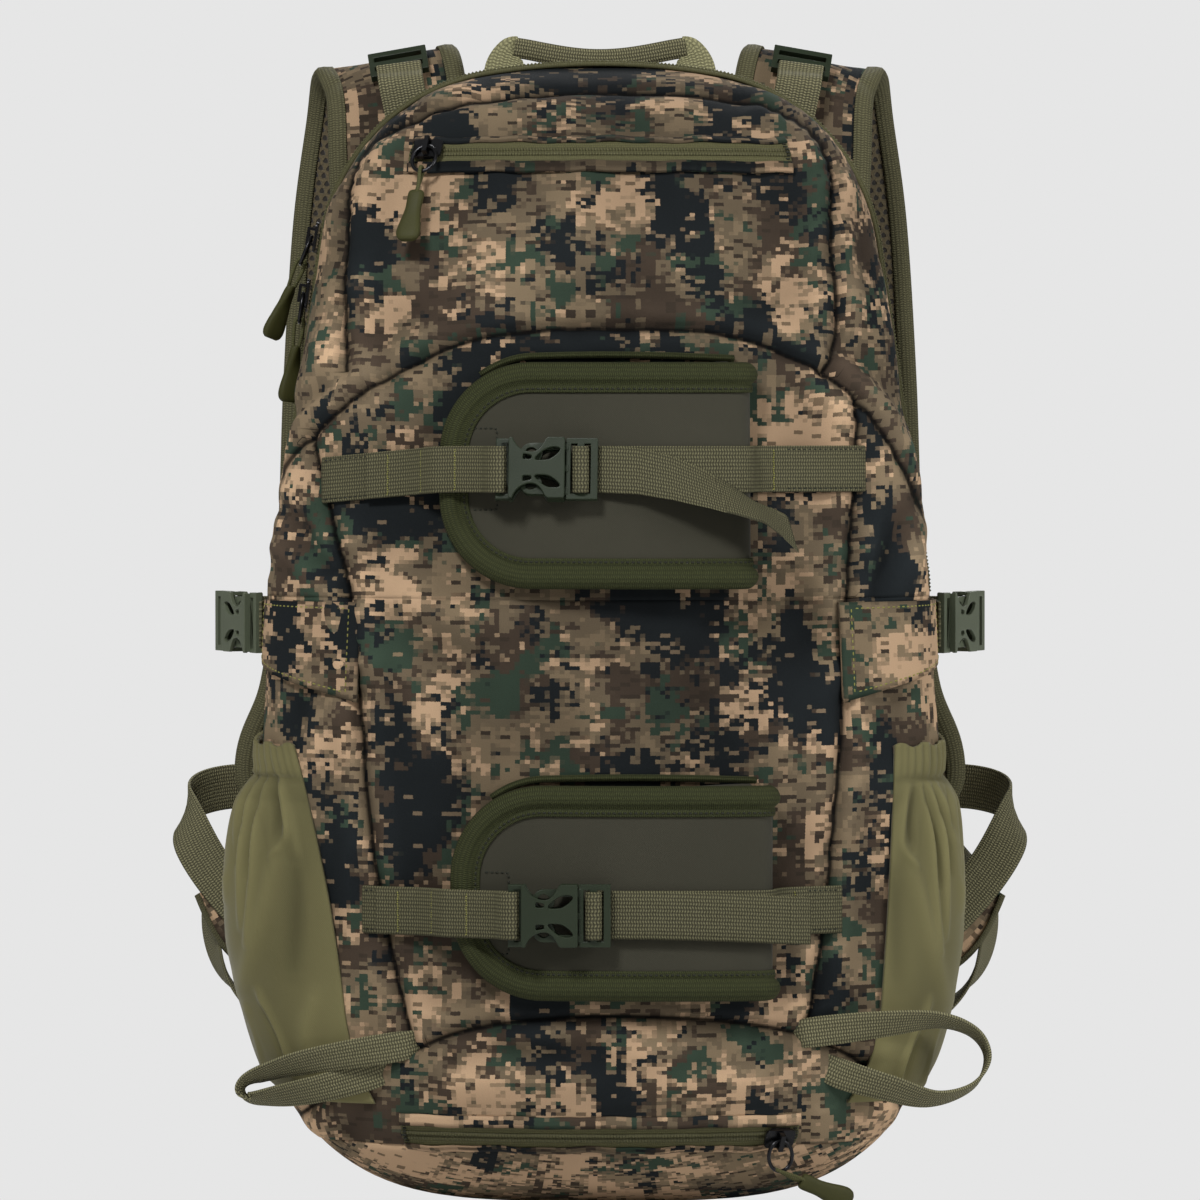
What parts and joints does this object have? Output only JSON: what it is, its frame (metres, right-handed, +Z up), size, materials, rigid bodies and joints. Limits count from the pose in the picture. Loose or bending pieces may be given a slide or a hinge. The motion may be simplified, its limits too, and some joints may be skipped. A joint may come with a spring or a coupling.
{
  "type": "hunting backpack",
  "caption": "Soft camouflage day pack with a zip-round lid, folded sling flaps under side-release buckles, stretch side pockets, padded shoulder straps and a hip belt.",
  "frame": {"origin": "middle of the flat of the base, on the floor the pack stands on", "axes": "+X to the right seen from the front, +Y from the front towards the wearer's back, +Z up"},
  "size_m": [0.3814, 0.2809, 0.5001],
  "materials": {
    "camo_cloth": "woven polyester with a pixelled camouflage print",
    "spacer_mesh": "dark spacer mesh over foam",
    "stretch_cloth": "smooth olive stretch cloth with a gathered hem",
    "neoprene": "grey rubberised cloth with a fine rib",
    "binding_tape": "olive ribbed binding tape",
    "webbing": "olive herringbone webbing",
    "zip_tape": "olive tape with a dark coil",
    "buckle_plastic": "moulded, fine grain",
    "sheet_plastic": "plain sheet",
    "black_metal": "black lacquer",
    "rubber_pull": "moulded olive rubber"
  },
  "bodies": {
    "pack": {"back_panel": "spacer_mesh", "left_gusset": "camo_cloth", "right_gusset": "camo_cloth", "top_gusset": "camo_cloth", "base_panel": "camo_cloth", "lower_front_panel": "camo_cloth", "left_side_pocket": "stretch_cloth", "right_side_pocket": "stretch_cloth", "left_compression_tab": "camo_cloth", "right_compression_tab": "camo_cloth", "back_pads": "spacer_mesh", "lumbar_pad": "spacer_mesh", "frame_sheet": "sheet_plastic", "left_shoulder_strap": "camo_cloth", "right_shoulder_strap": "camo_cloth", "left_load_lifter": "webbing", "right_load_lifter": "webbing", "left_strap_adjuster": "webbing", "right_strap_adjuster": "webbing", "left_belt_wing": "camo_cloth", "right_belt_wing": "camo_cloth", "left_belt_webbing": "webbing", "right_belt_webbing": "webbing", "belt_buckle_female": "buckle_plastic", "tool_loops": "webbing", "main_zip_rear": "zip_tape", "bottom_zip": "zip_tape", "lower_sling_flap": "neoprene", "lower_sling_binding": "binding_tape", "lower_sling_strap_left": "webbing", "lower_sling_strap_right": "webbing", "lower_buckle_female": "buckle_plastic", "left_compression_webbing": "webbing", "right_compression_webbing": "webbing", "left_compression_female": "buckle_plastic", "right_compression_female": "buckle_plastic"},
    "lid": {"lid_panel": "camo_cloth", "main_zip_front": "zip_tape", "front_zip": "zip_tape", "upper_sling_flap": "neoprene", "upper_sling_binding": "binding_tape", "upper_sling_strap_left": "webbing", "upper_sling_strap_right": "webbing", "upper_buckle_female": "buckle_plastic"},
    "front_slider": {"front_slider": "black_metal"},
    "front_pull": {"front_pull": "rubber_pull"},
    "bottom_slider": {"bottom_slider": "black_metal"},
    "bottom_pull": {"bottom_pull": "rubber_pull"},
    "main_slider_lower": {"main_slider_lower": "black_metal"},
    "main_pull_lower": {"main_pull_lower": "rubber_pull"},
    "main_slider_upper": {"main_slider_upper": "black_metal"},
    "main_pull_upper": {"main_pull_upper": "rubber_pull"},
    "upper_buckle_male": {"upper_buckle_male": "buckle_plastic"},
    "lower_buckle_male": {"lower_buckle_male": "buckle_plastic"},
    "left_compression_male": {"left_compression_male": "buckle_plastic"},
    "right_compression_male": {"right_compression_male": "buckle_plastic"},
    "belt_buckle_male": {"belt_buckle_male": "buckle_plastic"},
    "left_ladder_lock": {"left_ladder_lock": "buckle_plastic"},
    "right_ladder_lock": {"right_ladder_lock": "buckle_plastic"},
    "grab_handle": {"grab_handle": "webbing"}
  },
  "joints": [
    {"name": "lid_hinge", "type": "hinge", "parent": "pack", "child": "lid", "pos_m": [0, -0.111, 0.258], "axis": [1, 0, 0], "range_deg": [0, 45]},
    {"name": "front_zip_run", "type": "hinge", "parent": "lid", "child": "front_slider", "pos_m": [0, 0.1774, 0.446], "axis": [0, 0, 1], "range_deg": [0, 36.6]},
    {"name": "front_pull_swing", "type": "hinge", "parent": "front_slider", "child": "front_pull", "pos_m": [-0.07377, -0.04566, 0.44948], "axis": [-0.9494, 0.314, 0], "range_deg": [0, 80]},
    {"name": "bottom_zip_run", "type": "hinge", "parent": "pack", "child": "bottom_slider", "pos_m": [0, 0.12139, 0.034], "axis": [0, 0, 1], "range_deg": [-37.6, 0]},
    {"name": "bottom_pull_swing", "type": "hinge", "parent": "bottom_slider", "child": "bottom_pull", "pos_m": [0.07579, -0.10124, 0.03085], "axis": [-0.9466, -0.3223, 0], "range_deg": [-8, 70]},
    {"name": "main_zip_lower_run", "type": "slide", "parent": "pack", "child": "main_slider_lower", "axis": [-0.1433, 0, -0.9897], "range_m": [0, 0.092]},
    {"name": "main_pull_lower_swing", "type": "hinge", "parent": "main_slider_lower", "child": "main_pull_lower", "pos_m": [-0.12882, 0.016, 0.38788], "axis": [0, 1, 0], "range_deg": [0, 16]},
    {"name": "main_zip_upper_run", "type": "hinge", "parent": "pack", "child": "main_slider_upper", "pos_m": [-0.03518, 0.016, 0.3978], "axis": [0, 1, 0], "range_deg": [0, 62]},
    {"name": "main_pull_upper_swing", "type": "hinge", "parent": "main_slider_upper", "child": "main_pull_upper", "pos_m": [-0.12525, 0.016, 0.41245], "axis": [0, 1, 0], "range_deg": [0, 70]},
    {"name": "upper_buckle_release", "type": "slide", "parent": "lid", "child": "upper_buckle_male", "axis": [0.9983, -0.0587, 0], "range_m": [0, 0.026], "deforming": ["upper_sling_strap_right"]},
    {"name": "lower_buckle_release", "type": "slide", "parent": "pack", "child": "lower_buckle_male", "axis": [0.9993, -0.0369, 0], "range_m": [0, 0.026], "deforming": ["lower_sling_strap_right"]},
    {"name": "left_compression_release", "type": "slide", "parent": "pack", "child": "left_compression_male", "axis": [-0.454, 0.891, 0], "range_m": [0, 0.026], "deforming": ["left_compression_webbing"]},
    {"name": "right_compression_release", "type": "slide", "parent": "pack", "child": "right_compression_male", "axis": [0.454, 0.891, 0], "range_m": [0, 0.026], "deforming": ["right_compression_webbing"]},
    {"name": "belt_buckle_release", "type": "slide", "parent": "pack", "child": "belt_buckle_male", "axis": [1, 0, 0], "range_m": [0, 0.026], "deforming": ["right_belt_webbing"]},
    {"name": "left_lock_tilt", "type": "hinge", "parent": "pack", "child": "left_ladder_lock", "pos_m": [-0.08838, 0.08303, 0.48477], "axis": [0.9848, 0, 0.1736], "range_deg": [0, 20], "deforming": ["left_load_lifter"]},
    {"name": "right_lock_tilt", "type": "hinge", "parent": "pack", "child": "right_ladder_lock", "pos_m": [0.08838, 0.08303, 0.48477], "axis": [0.9848, 0, -0.1736], "range_deg": [0, 20], "deforming": ["right_load_lifter"]},
    {"name": "handle_fold", "type": "hinge", "parent": "pack", "child": "grab_handle", "pos_m": [0, 0.07649, 0.437], "axis": [-1, 0, 0], "range_deg": [0, 85]}
  ]
}
